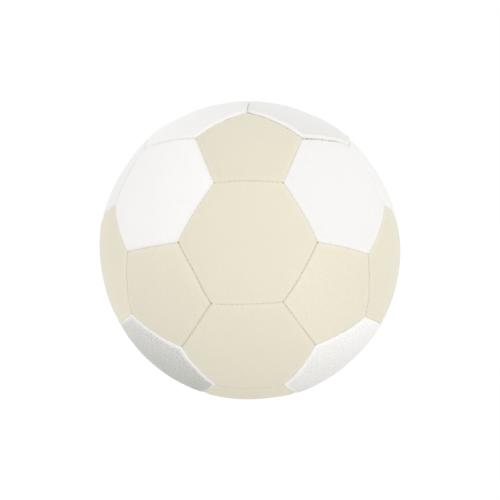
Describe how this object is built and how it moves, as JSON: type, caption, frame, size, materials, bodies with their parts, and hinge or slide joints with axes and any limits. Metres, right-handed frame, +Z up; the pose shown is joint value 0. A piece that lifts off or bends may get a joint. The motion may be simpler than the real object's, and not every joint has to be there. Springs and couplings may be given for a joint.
{
  "type": "medicine ball",
  "caption": "Small stuffed medicine ball with a sewn panel cover in cream and white knitted fabric, foam-backed, filled with fibre round a bag of grit.",
  "frame": {"origin": "on the floor, in the middle of the flat that the ball rests on", "axes": "+Z up; the front, where a hexagon panel faces the camera, is -Y; +X is to the right as seen from the front"},
  "size_m": [0.22, 0.22, 0.2182],
  "materials": {
    "cream_fabric": "matte",
    "white_fabric": "matte",
    "backing_foam": "matte",
    "seam_thread": "matte",
    "closing_thread": "matte",
    "lining_fabric": "matte",
    "fibre_filling": "matte",
    "canvas": "matte",
    "tie_cord": "matte",
    "grit": "matte"
  },
  "bodies": {
    "root": {"closing_thread": "closing_thread", "fibre_filling_lower": "fibre_filling", "fibre_filling_upper": "fibre_filling", "grit_filling": "grit", "hexagon_back_12_oclock": "white_fabric", "hexagon_back_4_oclock": "cream_fabric", "hexagon_back_8_oclock": "cream_fabric", "hexagon_back_centre": "white_fabric", "hexagon_back_side_11_oclock": "cream_fabric", "hexagon_back_side_1_oclock": "cream_fabric", "hexagon_back_side_3_oclock": "white_fabric", "hexagon_back_side_5_oclock": "cream_fabric", "hexagon_back_side_7_oclock": "cream_fabric", "hexagon_back_side_9_oclock": "white_fabric", "hexagon_foam_backings": "backing_foam", "hexagon_front_10_oclock": "white_fabric", "hexagon_front_2_oclock": "white_fabric", "hexagon_front_6_oclock": "cream_fabric", "hexagon_front_centre": "cream_fabric", "hexagon_front_side_11_oclock": "white_fabric", "hexagon_front_side_1_oclock": "white_fabric", "hexagon_front_side_3_oclock": "cream_fabric", "hexagon_front_side_5_oclock": "white_fabric", "hexagon_front_side_7_oclock": "white_fabric", "hexagon_front_side_9_oclock": "cream_fabric", "lining_bag_lower": "lining_fabric", "lining_bag_upper": "lining_fabric", "pentagon_back_10_oclock": "white_fabric", "pentagon_back_2_oclock": "white_fabric", "pentagon_back_6_oclock": "white_fabric", "pentagon_back_side_12_oclock": "white_fabric", "pentagon_back_side_4_oclock": "cream_fabric", "pentagon_back_side_8_oclock": "cream_fabric", "pentagon_foam_backings": "backing_foam", "pentagon_front_12_oclock": "cream_fabric", "pentagon_front_4_oclock": "cream_fabric", "pentagon_front_8_oclock": "cream_fabric", "pentagon_front_side_10_oclock": "white_fabric", "pentagon_front_side_2_oclock": "white_fabric", "pentagon_front_side_6_oclock": "cream_fabric", "seam_thread": "seam_thread", "weight_bag": "canvas", "weight_bag_tie": "tie_cord"}
  },
  "joints": []
}
